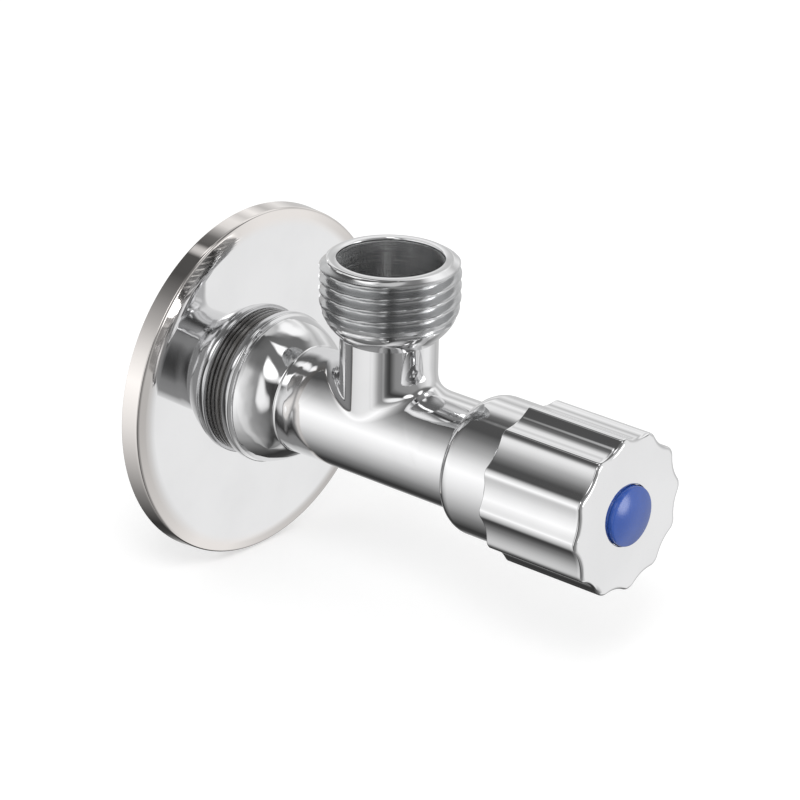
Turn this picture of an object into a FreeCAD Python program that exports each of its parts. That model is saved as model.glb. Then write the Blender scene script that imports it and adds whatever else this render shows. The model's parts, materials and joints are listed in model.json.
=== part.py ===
import FreeCAD, Part
import Sketcher
import math
import os
import re

# Chromed quarter-turn angle valve with a flat wall plate, all sizes in millimetres.
# Each piece is drawn with the valve's axis as its own Z, counted from the wall plane outwards,
# and then turned so that this axis runs along -Y and the outlet points along +Z.
# A height along that axis is called a station; the wall plane is station 0.

SIZES = {
    # inlet spigot that screws into the wall fitting
    "inlet_thread_dia": 20.955,      # parallel pipe thread G 1/2, over its crests
    "inlet_thread_length": 14.5,
    "spigot_depth": 13.0,            # reach behind the wall plane
    "thread_chamfer": 1.0,
    "relief_depth": 0.88,            # undercut between the thread and the flange
    "inlet_bore_dia": 12.0,
    # flange and the domed crown in front of the wall plate
    "flange_step": 0.97,             # crown outside the thread, on the radius
    "bead_step": 0.35,               # bead outside the crown, on the radius
    "bead_width": 1.4,
    "bead_chamfer": 0.3,
    "groove_depth": 0.22,
    "groove_width": 0.8,
    "crown_length": 3.1,             # gentle cone up to the crown's corner
    "crown_share": 0.34,             # part of the crown's fall that the gentle cone takes
    "crown_rounding": 13.5,
    "crown_angle": 41.35,            # slope of the steep cone to the axis
    "crown_root_rounding": 0.25,
    # barrel, with its shoulder and the collar that holds the cartridge
    "cone_share": 0.85,              # most of a cone's slope that a rounding at its wide end may take
    "barrel_wall": 1.8,
    "barrel_length": 32.7,
    "shoulder_angle": 55.0,
    "shoulder_rounding": 2.7,
    "collar_wall": 1.65,
    "collar_length": 8.52,
    "collar_edge_chamfer": 0.25,
    "collar_bore_depth": 8.6,
    # outlet branch
    "outlet_offset": 15.3,           # from the crown's foot to the outlet's axis
    "outlet_height": 27.07,          # from the valve's axis to the mouth
    "outlet_thread_dia": 20.955,     # parallel pipe thread G 1/2, over its crests
    "outlet_cone_end": 8.84,         # mouth to the corner of the bowl under the thread
    "outlet_cone_angle": 43.0,
    "outlet_bowl_rounding": 7.3,
    "mouth_chamfer_width": 1.28,
    "mouth_chamfer_height": 0.77,
    "mouth_bore_dia": 15.94,
    "mouth_bore_depth": 9.0,
    "mouth_floor_height": 1.7,       # cone between the mouth's bore and the passage
    "passage_dia": 10.0,
    "neck_wall": 2.34,
    "neck_root_rounding": 2.6,
    # seat inside the barrel
    "seat_setback": 11.34,           # outlet's axis back to the seat face
    "seat_thickness": 2.0,
    "seat_hole_dia": 7.8,
    "cartridge_bore_dia": 12.9,
    # wall plate, a pressed pan
    "plate_height": 3.58,
    "plate_metal": 0.8,
    "plate_rim_dia": 54.8,           # against the wall
    "plate_draft": 0.45,             # rim outside the face's corner, on the radius
    "plate_edge_rounding": 0.95,     # drawn as two narrow cones
    "plate_hole_clearance": 0.32,
    # rubber ring between the wall plate and the flange
    "ring_thickness": 1.7,
    "ring_face_clearance": 0.01,
    "ring_bore_clearance": 0.1,
    "ring_setback": 0.5,             # inside the bead, on the radius
    # strainer in the inlet
    "strainer_clearance": 0.05,
    "strainer_depth": 7.0,           # from the spigot's end to the strainer
    "strainer_height": 1.6,
    "strainer_rim": 0.9,
    "strainer_sheet": 0.5,
    "strainer_hole": 1.2,            # across the flats of its six-sided holes
    "strainer_pitch": 1.9,           # distance between the rings of holes
    # bonnet of the ceramic cartridge
    "bonnet_clearance": 0.15,        # sleeve in the barrel, on the radius
    "sleeve_wall": 1.15,
    "sleeve_end_clearance": 1.0,     # sleeve's end to the seat face
    "window_width": 7.6,
    "window_length": 7.5,
    "window_rounding": 1.5,
    "bonnet_thread_dia": 18.0,       # fine thread M18, over its crests
    "bonnet_thread_clearance": 0.05,
    "bonnet_shoulder_gap": 0.3,
    "bonnet_flange_thickness": 1.0,
    "hex_across_flats": 17.0,
    "hex_height": 3.2,
    "hex_chamfer": 0.4,
    "bonnet_neck_dia": 13.0,
    "bonnet_neck_length": 2.25,
    # flat gasket under the bonnet's flange and ring seal round its sleeve
    "gasket_thickness": 0.5,
    "gasket_setback": 0.1,
    "bonnet_ring_section": 1.0,
    "bonnet_ring_station": 4.5,      # ahead of the shoulder, towards the seat
    "ring_groove_clearance": 0.03,
    "ring_groove_side_clearance": 0.15,
    # seat seal and ceramic discs
    "seal_thickness": 2.0,
    "seal_bore_dia": 7.4,
    "seal_clearance": 0.1,
    "fixed_disc_thickness": 2.5,
    "fixed_disc_clearance": 0.1,
    "key_width": 2.0,
    "key_reach": 0.85,               # beyond the disc's edge
    "key_clearance": 0.1,
    "moving_disc_thickness": 2.5,
    "moving_disc_clearance": 0.3,
    "port_inner_dia": 3.2,
    "port_outer_dia": 7.2,
    "port_angle": 76.0,
    # spindle
    "foot_thickness": 1.2,
    "tab_width": 1.9,
    "tab_length": 0.9,
    "tab_clearance": 0.1,
    "spindle_core_dia": 5.2,
    "head_setback": 1.0,             # window's edge to the spindle's head
    "head_length": 5.0,
    "head_clearance": 0.07,
    "head_ring_section": 1.1,
    "shaft_dia": 8.0,
    "shaft_clearance": 0.05,
    "shaft_ring_section": 0.9,
    "shaft_ring_setback": 6.0,       # behind the collar's end
    "spline_depth": 0.42,            # grooves with sides at 90 degrees
    "spline_clearance": 0.09,        # rib's crest to the groove's root
    "spline_set_in": 0.1,            # spline's crests inside the shaft, on the radius
    "spindle_end_clearance": 0.2,
    "screw_hole_depth": 7.5,
    # thrust washer and retaining clip
    "thrust_washer_thickness": 0.5,
    "thrust_washer_clearance": 0.1,
    "clip_clearance": 0.05,
    "clip_thickness": 0.8,
    "clip_groove_depth": 0.7,
    "clip_width": 1.85,
    "clip_mouth": 5.4,
    # handle knob
    "knob_gap": 0.3,                 # collar's end to the knob's back
    "knob_length": 17.6,
    "knob_wall": 1.22,
    "cavity_clearance": 0.35,
    "flute_depth": 0.8,
    "flute_radius": 6.7,
    "flute_turn": 5.44,              # first ridge above the level, in degrees
    "ridge_rounding": 0.3,
    "knob_edge_chamfer": 0.5,
    "knob_face_thickness": 2.0,
    "hub_wall": 1.6,
    "hub_clearance": 0.2,            # clip to the hub
    "rib_width": 1.2,
    "index_recess_dia": 9.3,
    "index_recess_depth": 1.24,
    "web_thickness": 1.2,
    # splined bush between the spindle and the hub
    "bush_wall": 1.1,
    "bush_clearance": 0.05,
    # handle screw and its lock washer
    "screw_dia": 3.9,
    "screw_clearance": 0.25,
    "screw_hole_clearance": 0.05,
    "screw_reach": 7.0,              # shank below the spindle's end
    "screw_head_dia": 7.0,
    "screw_head_height": 1.1,
    "screw_head_clearance": 0.1,
    "screw_recess_clearance": 0.6,
    "screw_slot_width": 1.0,
    "screw_slot_depth": 0.6,
    "lock_washer_thickness": 0.6,
    "lock_washer_dia": 6.8,
    # domed index cap
    "cap_clearance": 0.14,
    "cap_stand": 0.7,                # straight side proud of the knob's face
    "cap_dome": 0.85,
    "cap_set_in": 0.05,
}

FLUTES = 12
SPLINES = 16
HUB_RIBS = 6
STRAINER_HOLES = (6, 12)

# Stations and widths that follow from the sizes above.
PLACES = {
    "crown_dia": "inlet_thread_dia + 2 * flange_step",
    "bead_dia": "crown_dia + 2 * bead_step",
    "groove_dia": "crown_dia - 2 * groove_depth",
    "plate_face_dia": "plate_rim_dia - 2 * plate_draft",
    "relief_dia": "inlet_thread_dia - 2 * relief_depth",
    "barrel_dia": "cartridge_bore_dia + 2 * barrel_wall",
    "collar_dia": "bonnet_thread_dia + 2 * collar_wall",
    "neck_dia": "passage_dia + 2 * neck_wall",
    "crown_fall": "crown_share * (crown_dia - barrel_dia) / 2",
    "crown_rest": "(crown_dia - barrel_dia) / 2 - crown_fall",
    # tangent of the angle between the crown's two cones
    "crown_bend": "(tan(crown_angle) - crown_fall / crown_length)"
                  " / (1 + tan(crown_angle) * crown_fall / crown_length)",
    "crown_round": "min(crown_rounding; cone_share * crown_rest / sin(crown_angle)"
                   " * crown_bend / (sqrt(1 + crown_bend^2) - 1))",
    "shoulder_round": "min(shoulder_rounding; cone_share * (collar_dia - barrel_dia) / 2"
                      " / sin(shoulder_angle) / tan(shoulder_angle / 2))",
    "bowl_round": "min(outlet_bowl_rounding; cone_share * (outlet_thread_dia - neck_dia) / 2"
                  " / sin(outlet_cone_angle) / tan(outlet_cone_angle / 2))",
    "spigot_end": "0 - spigot_depth",
    "relief_start": "spigot_end + inlet_thread_length",
    "flange_back": "plate_height + ring_thickness + 2 * ring_face_clearance",
    "bead_front": "flange_back + bead_width",
    "crown_start": "bead_front + groove_width",
    "crown_corner": "crown_start + crown_length",
    "barrel_start": "crown_corner + crown_rest / tan(crown_angle)",
    "outlet_station": "barrel_start + outlet_offset",
    "shoulder_start": "barrel_start + barrel_length",
    "shoulder_corner": "shoulder_start + (collar_dia - barrel_dia) / 2 / tan(shoulder_angle)",
    "collar_end": "shoulder_corner + collar_length",
    "collar_bore_floor": "collar_end - collar_bore_depth",
    "outlet_corner": "outlet_height - outlet_cone_end",
    "neck_top": "outlet_corner - (outlet_thread_dia - neck_dia) / 2 / tan(outlet_cone_angle)",
    "mouth_floor": "outlet_height - mouth_bore_depth",
    "seat_face": "outlet_station - seat_setback",
    "seat_back": "seat_face - seat_thickness",
    "sleeve_dia": "cartridge_bore_dia - 2 * bonnet_clearance",
    "chamber_dia": "sleeve_dia - 2 * sleeve_wall",
    "sleeve_start": "seat_face + sleeve_end_clearance",
    "bonnet_ring_place": "collar_bore_floor - bonnet_ring_station",
    "bonnet_flange_back": "collar_end + gasket_thickness",
    "bonnet_flange_dia": "hex_across_flats / cos(30)",
    "hex_back": "bonnet_flange_back + bonnet_flange_thickness",
    "neck_back": "hex_back + hex_height",
    "bonnet_front": "neck_back + bonnet_neck_length",
    "shaft_bore_dia": "shaft_dia + 2 * shaft_clearance",
    "fixed_disc_back": "seat_face + seal_thickness",
    "disc_contact": "fixed_disc_back + fixed_disc_thickness",
    "foot_back": "disc_contact + moving_disc_thickness",
    "foot_front": "foot_back + foot_thickness",
    "moving_disc_dia": "chamber_dia - 2 * moving_disc_clearance",
    "fixed_disc_dia": "chamber_dia - 2 * fixed_disc_clearance",
    "head_back": "outlet_station + window_length / 2 + head_setback",
    "head_front": "head_back + head_length",
    "head_dia": "chamber_dia - 2 * head_clearance",
    "chamber_end": "head_front + thrust_washer_thickness + thrust_washer_clearance",
    "head_ring_place": "(head_back + head_front) / 2",
    "shaft_ring_place": "collar_end - shaft_ring_setback",
    "clip_back": "bonnet_front + clip_clearance",
    "clip_front": "clip_back + clip_thickness",
    "hub_back": "clip_front + hub_clearance",
    "knob_back": "collar_end + knob_gap",
    "knob_front": "knob_back + knob_length",
    "cavity_dia": "bonnet_flange_dia + 2 * cavity_clearance",
    "knob_dia": "cavity_dia + 2 * (knob_wall + flute_depth)",
    "cavity_floor": "knob_front - knob_face_thickness",
    "recess_floor": "knob_front - index_recess_depth",
    "screw_head_front": "recess_floor - screw_head_clearance",
    "screw_head_back": "screw_head_front - screw_head_height",
    "web_front": "screw_head_back - lock_washer_thickness",
    "web_back": "web_front - web_thickness",
    "spindle_end": "web_back - spindle_end_clearance",
    "spline_dia": "shaft_dia - 2 * spline_set_in",
    "bush_bore_dia": "spline_dia + 2 * bush_clearance",
    "bush_dia": "bush_bore_dia + 2 * bush_wall",
    "hub_dia": "bush_dia + 2 * (bush_clearance + hub_wall)",
    "cap_dia": "index_recess_dia - 2 * cap_clearance",
    "cap_top": "knob_front + cap_stand + cap_dome",
    "cap_ball_radius": "((cap_dia / 2)^2 + cap_dome^2) / 2 / cap_dome",
}

doc = FreeCAD.newDocument("angle_valve")
SHEET_OF = {name: "Sizes" for name in SIZES}
SHEET_OF.update({name: "Places" for name in PLACES})


def formula(text):
    """The text with each size's name led by the sheet that holds it."""
    return re.sub(r"[a-z]+_\w+", lambda word: SHEET_OF[word.group()] + "." + word.group(), text)


def fill_sheet(sheet_name, cells):
    sheet = doc.addObject("Spreadsheet::Sheet", sheet_name)
    for row, (name, content) in enumerate(cells.items(), start=1):
        sheet.set(f"A{row}", name)
        sheet.set(f"B{row}", content)
        sheet.setAlias(f"B{row}", name)
    doc.recompute()
    return sheet


sheets = {
    "Sizes": fill_sheet("Sizes", {name: str(value) for name, value in SIZES.items()}),
}
sheets["Places"] = fill_sheet("Places", {name: "=" + formula(text) for name, text in PLACES.items()})


def size(name):
    """The present value of a named size or place."""
    return float(getattr(sheets[SHEET_OF[name]], name))


# The valve's axis, drawn along Z, comes to lie along -Y.
TURN = FreeCAD.Placement(FreeCAD.Vector(0, 0, 0), FreeCAD.Rotation(FreeCAD.Vector(1, 0, 0), 90))
pieces = []


def new_body(label):
    body = doc.addObject("PartDesign::Body", label)
    body.Label = label
    body.Placement = TURN
    pieces.append(body)
    return body


def new_sketch(body, role, station=None):
    """A sketch on one of the body's own origin planes, or level with a station above it."""
    sketch = body.newObject("Sketcher::SketchObject", "Sketch")
    plane = next(feature for feature in body.Origin.OriginFeatures if feature.Role == role)
    sketch.AttachmentSupport = [(plane, "")]
    sketch.MapMode = "FlatFace"
    if station:
        sketch.setExpression("AttachmentOffset.Base.z", formula(station))
    return sketch


def bind(sketch, kind, *where, to):
    """One dimension of a sketch, bound to a formula."""
    index = sketch.addConstraint(Sketcher.Constraint(kind, *where, 1.0))
    sketch.renameConstraint(index, f"size{index}")
    sketch.setExpression(f"Constraints.size{index}", formula(to))


def draw_outline(sketch, corners):
    """A closed outline of straight lines whose corners are placed by formulas; "0" is on the axis."""
    count = len(corners)
    turns = [2 * math.pi * corner / count for corner in range(count)]
    start = [FreeCAD.Vector(9 + math.cos(turn), 9 + math.sin(turn), 0) for turn in turns]
    for corner in range(count):
        sketch.addGeometry(Part.LineSegment(start[corner], start[(corner + 1) % count]), False)
    for corner in range(count):
        sketch.addConstraint(Sketcher.Constraint("Coincident", corner, 2, (corner + 1) % count, 1))
    for corner, (across, along) in enumerate(corners):
        if across == "0":
            sketch.addConstraint(Sketcher.Constraint("PointOnObject", corner, 1, -2))
        else:
            bind(sketch, "DistanceX", -1, 1, corner, 1, to=across)
        if along == "0":
            sketch.addConstraint(Sketcher.Constraint("PointOnObject", corner, 1, -1))
        else:
            bind(sketch, "DistanceY", -1, 1, corner, 1, to=along)
    return sketch


def draw_circle(sketch, diameter, across="0", along="0"):
    circle = Part.Circle(FreeCAD.Vector(9, 9, 0), FreeCAD.Vector(0, 0, 1), 1)
    index = sketch.addGeometry(circle, False)
    bind(sketch, "Diameter", index, to=diameter)
    if across == "0":
        sketch.addConstraint(Sketcher.Constraint("PointOnObject", index, 3, -2))
    else:
        bind(sketch, "DistanceX", -1, 1, index, 3, to=across)
    if along == "0":
        sketch.addConstraint(Sketcher.Constraint("PointOnObject", index, 3, -1))
    else:
        bind(sketch, "DistanceY", -1, 1, index, 3, to=along)
    return sketch


def rectangle(left, right, low, high):
    return [(left, low), (right, low), (right, high), (left, high)]


def hexagon(across_flats, across="0"):
    corner = f"{across_flats} / cos(30) / 2"
    half = f"{across_flats} / 2"
    return [
        (f"{across} + {corner}", "0"),
        (f"{across} + {corner} / 2", half),
        (f"{across} - {corner} / 2", half),
        (f"{across} - {corner}", "0"),
        (f"{across} - {corner} / 2", f"0 - {half}"),
        (f"{across} + {corner} / 2", f"0 - {half}"),
    ]


def turn_profile(body, sketch, cut=False, axis="V_Axis", angle=None):
    """The outline turned about the sketch's axis, added or cut away."""
    feature = body.newObject("PartDesign::Groove" if cut else "PartDesign::Revolution", "Turned")
    feature.Profile = (sketch, [""])
    feature.ReferenceAxis = (sketch, [axis])
    feature.Angle = 360
    if angle:
        feature.setExpression("Angle", formula(angle))
        feature.Midplane = True
    doc.recompute()
    return feature


def pad(body, sketch, length, backwards=False):
    feature = body.newObject("PartDesign::Pad", "Pad")
    feature.Profile = (sketch, [""])
    feature.setExpression("Length", formula(length))
    feature.Reversed = backwards
    doc.recompute()
    return feature


def pocket(body, sketch, depth=None, forwards=False, both_ways=False):
    """A cut below the sketch's plane, or above it, through everything where no depth is given."""
    feature = body.newObject("PartDesign::Pocket", "Pocket")
    feature.Profile = (sketch, [""])
    if depth:
        feature.setExpression("Length", formula(depth))
    else:
        feature.Type = "ThroughAll"
    feature.Reversed = forwards
    feature.Midplane = both_ways
    before = feature.BaseFeature.Shape.Volume
    doc.recompute()
    if feature.Shape.Volume >= before - 1e-6:
        raise RuntimeError(f"a pocket in {body.Label} cuts nothing")
    return feature


def repeat_round(body, feature, count):
    """Copies of a feature all round the body's axis."""
    pattern = body.newObject("PartDesign::PolarPattern", "Round")
    pattern.Originals = [feature]
    axis = next(item for item in body.Origin.OriginFeatures if item.Role == "Z_Axis")
    pattern.Axis = (axis, [""])
    pattern.Angle = 360
    pattern.Occurrences = count
    body.Tip = pattern
    doc.recompute()
    return pattern


def ring_edges(body, diameter, centre):
    """The names of the round edges with this diameter about this point."""
    names = []
    shape = body.Tip.Shape
    for number, edge in enumerate(shape.Edges, start=1):
        curve = edge.Curve
        if isinstance(curve, Part.Circle) and abs(curve.Radius - diameter / 2) < 1e-4:
            if curve.Center.distanceToPoint(centre) < 1e-4:
                names.append(f"Edge{number}")
    if not names:
        raise RuntimeError(f"{body.Label} has no round edge of {diameter} mm at {centre}")
    return names


def on_axis(station):
    return FreeCAD.Vector(0, 0, size(station))


def round_off(body, rounding, names):
    sharp = body.Tip
    feature = body.newObject("PartDesign::Fillet", "Rounding")
    feature.Base = (sharp, names)
    feature.setExpression("Radius", formula(rounding))
    doc.recompute()
    return feature


def break_edge(body, width, names):
    sharp = body.Tip
    feature = body.newObject("PartDesign::Chamfer", "Chamfer")
    feature.Base = (sharp, names)
    feature.setExpression("Size", formula(width))
    doc.recompute()
    return feature


def flat_ring(label, bore, outside, back, thickness):
    """A plain ring: a disc with a smaller one cut from it."""
    discs = []
    for name, diameter in (("outside", outside), ("bore", bore)):
        disc = doc.addObject("Part::Cylinder", f"{label}_{name}")
        disc.setExpression("Radius", formula(f"({diameter}) / 2"))
        disc.setExpression("Height", formula(thickness))
        disc.setExpression("Placement.Base.z", formula(back))
        discs.append(disc)
    ring = doc.addObject("Part::Cut", label)
    ring.Base, ring.Tool = discs
    ring.Label = label
    ring.Placement = TURN
    pieces.append(ring)
    doc.recompute()
    return ring


def ring_seal(label, bore, section, station):
    """A rubber ring seal lying in its groove; its round section is drawn with eight sides."""
    body = new_body(label)
    profile = new_sketch(body, "XZ_Plane")
    half = f"{section} / 2"
    part = f"{half} * tan(22.5)"
    corners = [(half, part), (part, half), (f"0 - {part}", half), (f"0 - {half}", part),
               (f"0 - {half}", f"0 - {part}"), (f"0 - {part}", f"0 - {half}"),
               (part, f"0 - {half}"), (half, f"0 - {part}")]
    draw_outline(profile, [
        (f"({bore} + {section}) / 2 + ({across})", f"{station} + ({along})") for across, along in corners
    ])
    turn_profile(body, profile)


def make_valve_body():
    """One casting: threaded spigot, flange, domed crown, barrel, collar and outlet branch."""
    body = new_body("valve_body")
    outside = new_sketch(body, "XZ_Plane")
    draw_outline(outside, [
        ("0", "spigot_end"),
        ("inlet_thread_dia / 2 - thread_chamfer", "spigot_end"),
        ("inlet_thread_dia / 2", "spigot_end + thread_chamfer"),
        ("inlet_thread_dia / 2", "relief_start"),
        ("relief_dia / 2", "relief_start"),
        ("relief_dia / 2", "flange_back"),
        ("bead_dia / 2 - bead_chamfer", "flange_back"),
        ("bead_dia / 2", "flange_back + bead_chamfer"),
        ("bead_dia / 2", "bead_front - bead_chamfer"),
        ("bead_dia / 2 - bead_chamfer", "bead_front"),
        ("groove_dia / 2", "bead_front + groove_width / 3"),
        ("groove_dia / 2", "bead_front + 2 * groove_width / 3"),
        ("crown_dia / 2", "crown_start"),
        ("crown_dia / 2 - crown_fall", "crown_corner"),
        ("barrel_dia / 2", "barrel_start"),
        ("barrel_dia / 2", "shoulder_start"),
        ("collar_dia / 2", "shoulder_corner"),
        ("collar_dia / 2", "collar_end - collar_edge_chamfer"),
        ("collar_dia / 2 - collar_edge_chamfer", "collar_end"),
        ("0", "collar_end"),
    ])
    turn_profile(body, outside)
    bend = ring_edges(body, size("crown_dia") - 2 * size("crown_fall"), on_axis("crown_corner"))
    round_off(body, "crown_round", bend)
    foot = ring_edges(body, size("barrel_dia"), on_axis("barrel_start"))
    round_off(body, "crown_root_rounding", foot)
    shoulder = ring_edges(body, size("collar_dia"), on_axis("shoulder_corner"))
    round_off(body, "shoulder_round", shoulder)

    branch = new_sketch(body, "YZ_Plane")
    draw_outline(branch, [
        ("0", "outlet_station"),
        ("0", "outlet_station + neck_dia / 2"),
        ("neck_top", "outlet_station + neck_dia / 2"),
        ("outlet_corner", "outlet_station + outlet_thread_dia / 2"),
        ("outlet_height - mouth_chamfer_height", "outlet_station + outlet_thread_dia / 2"),
        ("outlet_height", "outlet_station + outlet_thread_dia / 2 - mouth_chamfer_width"),
        ("outlet_height", "outlet_station"),
    ])
    turn_profile(body, branch, axis=outlet_axis(branch))
    corner = FreeCAD.Vector(0, size("outlet_corner"), size("outlet_station"))
    round_off(body, "bowl_round", ring_edges(body, size("outlet_thread_dia"), corner))
    round_off(body, "neck_root_rounding", branch_root_edges(body))

    bores = new_sketch(body, "XZ_Plane")
    draw_outline(bores, [
        ("0", "spigot_end - thread_chamfer"),
        ("inlet_bore_dia / 2", "spigot_end - thread_chamfer"),
        ("inlet_bore_dia / 2", "seat_back"),
        ("seat_hole_dia / 2", "seat_back"),
        ("seat_hole_dia / 2", "seat_face"),
        ("cartridge_bore_dia / 2", "seat_face"),
        ("cartridge_bore_dia / 2", "collar_bore_floor"),
        ("bonnet_thread_dia / 2", "collar_bore_floor"),
        ("bonnet_thread_dia / 2", "collar_end + thread_chamfer"),
        ("0", "collar_end + thread_chamfer"),
    ])
    turn_profile(body, bores, cut=True)

    passage = new_sketch(body, "YZ_Plane")
    draw_outline(passage, [
        ("0", "outlet_station"),
        ("0", "outlet_station + passage_dia / 2"),
        ("mouth_floor - mouth_floor_height", "outlet_station + passage_dia / 2"),
        ("mouth_floor", "outlet_station + mouth_bore_dia / 2"),
        ("outlet_height + thread_chamfer", "outlet_station + mouth_bore_dia / 2"),
        ("outlet_height + thread_chamfer", "outlet_station"),
    ])
    turn_profile(body, passage, cut=True, axis=outlet_axis(passage))


def outlet_axis(sketch):
    """A construction line in the sketch along the outlet's axis; gives its name as an axis."""
    line = Part.LineSegment(FreeCAD.Vector(1, 9, 0), FreeCAD.Vector(2, 9, 0))
    index = sketch.addGeometry(line, True)
    sketch.addConstraint(Sketcher.Constraint("PointOnObject", index, 1, -2))
    sketch.addConstraint(Sketcher.Constraint("Horizontal", index))
    bind(sketch, "DistanceX", index, 1, index, 2, to="outlet_height")
    bind(sketch, "DistanceY", -1, 1, index, 1, to="outlet_station")
    return "Axis0"


def branch_root_edges(body):
    """The curved edges where the outlet's neck runs into the barrel."""
    names = []
    for number, edge in enumerate(body.Tip.Shape.Edges, start=1):
        box = edge.BoundBox
        near_outlet = abs(box.Center.z - size("outlet_station")) < size("neck_dia") / 2
        low = 0 < box.YMin and box.YMax < size("neck_top")
        if near_outlet and low and not isinstance(edge.Curve, (Part.Circle, Part.Line)):
            names.append(f"Edge{number}")
    return names


def make_wall_escutcheon():
    """The wall plate: a shallow pan pressed from sheet, open towards the wall."""
    body = new_body("wall_escutcheon")
    pan = new_sketch(body, "XZ_Plane")
    draw_outline(pan, [
        ("inlet_thread_dia / 2 + plate_hole_clearance", "plate_height - plate_metal"),
        ("plate_face_dia / 2 - plate_metal", "plate_height - plate_metal"),
        ("plate_rim_dia / 2 - plate_metal", "0"),
        ("plate_rim_dia / 2", "0"),
        ("plate_face_dia / 2", "plate_height - plate_edge_rounding"),
        ("plate_face_dia / 2 - plate_edge_rounding * (1 - cos(45))",
         "plate_height - plate_edge_rounding * (1 - cos(45))"),
        ("plate_face_dia / 2 - plate_edge_rounding", "plate_height"),
        ("inlet_thread_dia / 2 + plate_hole_clearance", "plate_height"),
    ])
    turn_profile(body, pan)


def make_strainer():
    """A pressed cup of thin sheet with rings of small holes, pushed into the inlet."""
    body = new_body("inlet_strainer")
    cup = new_sketch(body, "XZ_Plane")
    edge = "inlet_bore_dia / 2 - strainer_clearance"
    front = "spigot_end + strainer_depth + strainer_height"
    draw_outline(cup, [
        (f"{edge} - strainer_rim", "spigot_end + strainer_depth"),
        (edge, "spigot_end + strainer_depth"),
        (edge, front),
        ("0", front),
        ("0", f"{front} - strainer_sheet"),
        (f"{edge} - strainer_rim", f"{front} - strainer_sheet"),
    ])
    turn_profile(body, cup)
    middle = new_sketch(body, "XY_Plane", station="spigot_end")
    draw_outline(middle, hexagon("strainer_hole"))
    pocket(body, middle, forwards=True)
    for ring, count in enumerate(STRAINER_HOLES, start=1):
        hole = new_sketch(body, "XY_Plane", station="spigot_end")
        draw_outline(hole, hexagon("strainer_hole", across=f"{ring} * strainer_pitch"))
        repeat_round(body, pocket(body, hole, forwards=True), count)


def make_bonnet():
    """The cartridge's brass bonnet: windowed sleeve, thread, flange, hexagon and neck."""
    body = new_body("cartridge_bonnet")
    groove_dia = "sleeve_dia / 2 + bonnet_clearance - bonnet_ring_section - ring_groove_clearance"
    groove_half = "(bonnet_ring_section / 2 + ring_groove_side_clearance)"
    turned = new_sketch(body, "XZ_Plane")
    draw_outline(turned, [
        ("chamber_dia / 2", "sleeve_start"),
        ("sleeve_dia / 2", "sleeve_start"),
        ("sleeve_dia / 2", f"bonnet_ring_place - {groove_half}"),
        (groove_dia, f"bonnet_ring_place - {groove_half}"),
        (groove_dia, f"bonnet_ring_place + {groove_half}"),
        ("sleeve_dia / 2", f"bonnet_ring_place + {groove_half}"),
        ("sleeve_dia / 2", "collar_bore_floor + bonnet_shoulder_gap"),
        ("bonnet_thread_dia / 2 - bonnet_thread_clearance", "collar_bore_floor + bonnet_shoulder_gap"),
        ("bonnet_thread_dia / 2 - bonnet_thread_clearance", "bonnet_flange_back"),
        ("bonnet_flange_dia / 2", "bonnet_flange_back"),
        ("bonnet_flange_dia / 2", "hex_back"),
        ("bonnet_neck_dia / 2", "hex_back"),
        ("bonnet_neck_dia / 2", "bonnet_front"),
        ("shaft_bore_dia / 2", "bonnet_front"),
        ("shaft_bore_dia / 2", "chamber_end"),
        ("chamber_dia / 2", "chamber_end"),
    ])
    turn_profile(body, turned)

    nut = new_sketch(body, "XY_Plane", station="hex_back")
    draw_outline(nut, hexagon("hex_across_flats"))
    draw_circle(nut, "bonnet_neck_dia - 2 * hex_chamfer")
    pad(body, nut, "hex_height")
    corners_off = new_sketch(body, "XZ_Plane")
    draw_outline(corners_off, [
        ("bonnet_flange_dia / 2 - 2 * hex_chamfer", "neck_back"),
        ("bonnet_flange_dia / 2 + hex_chamfer", "neck_back - 1.5 * hex_chamfer"),
        ("bonnet_flange_dia / 2 + hex_chamfer", "neck_back"),
    ])
    turn_profile(body, corners_off, cut=True)

    window = new_sketch(body, "XZ_Plane")
    draw_outline(window, rectangle(
        "0 - window_width / 2", "window_width / 2",
        "outlet_station - window_length / 2", "outlet_station + window_length / 2",
    ))
    pocket(body, window, both_ways=True)
    round_off(body, "window_rounding", window_corner_edges(body))

    slots = new_sketch(body, "XY_Plane", station="disc_contact")
    reach = "(fixed_disc_dia / 2 + key_reach + key_clearance)"
    width = "(key_width / 2 + key_clearance)"
    draw_outline(slots, rectangle(f"0 - {reach}", reach, f"0 - {width}", width))
    pocket(body, slots)


def window_corner_edges(body):
    """The short straight edges at the corners of the sleeve's windows."""
    names = []
    ends = (size("outlet_station") - size("window_length") / 2,
            size("outlet_station") + size("window_length") / 2)
    for number, edge in enumerate(body.Tip.Shape.Edges, start=1):
        box = edge.BoundBox
        at_end = min(abs(box.Center.z - end) for end in ends) < 1e-3
        at_side = abs(abs(box.Center.x) - size("window_width") / 2) < 1e-3
        if at_end and at_side and isinstance(edge.Curve, Part.Line):
            names.append(f"Edge{number}")
    return names


def cut_ports(body, plane, back, front):
    """Two facing ports, each a part of a ring, cut through from one station to another."""
    port = new_sketch(body, plane)
    draw_outline(port, rectangle("port_inner_dia / 2", "port_outer_dia / 2", back, front))
    repeat_round(body, turn_profile(body, port, cut=True, angle="port_angle"), 2)


def make_fixed_disc():
    """The ceramic disc that the bonnet's slots keep from turning, its ports up and down."""
    body = new_body("fixed_ceramic_disc")
    disc = new_sketch(body, "XY_Plane", station="fixed_disc_back")
    draw_circle(disc, "fixed_disc_dia")
    pad(body, disc, "fixed_disc_thickness")
    keys = new_sketch(body, "XY_Plane", station="fixed_disc_back")
    reach = "(fixed_disc_dia / 2 + key_reach)"
    draw_outline(keys, rectangle(f"0 - {reach}", reach, "0 - key_width / 2", "key_width / 2"))
    pad(body, keys, "fixed_disc_thickness")
    cut_ports(body, "YZ_Plane", "fixed_disc_back", "disc_contact")


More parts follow.
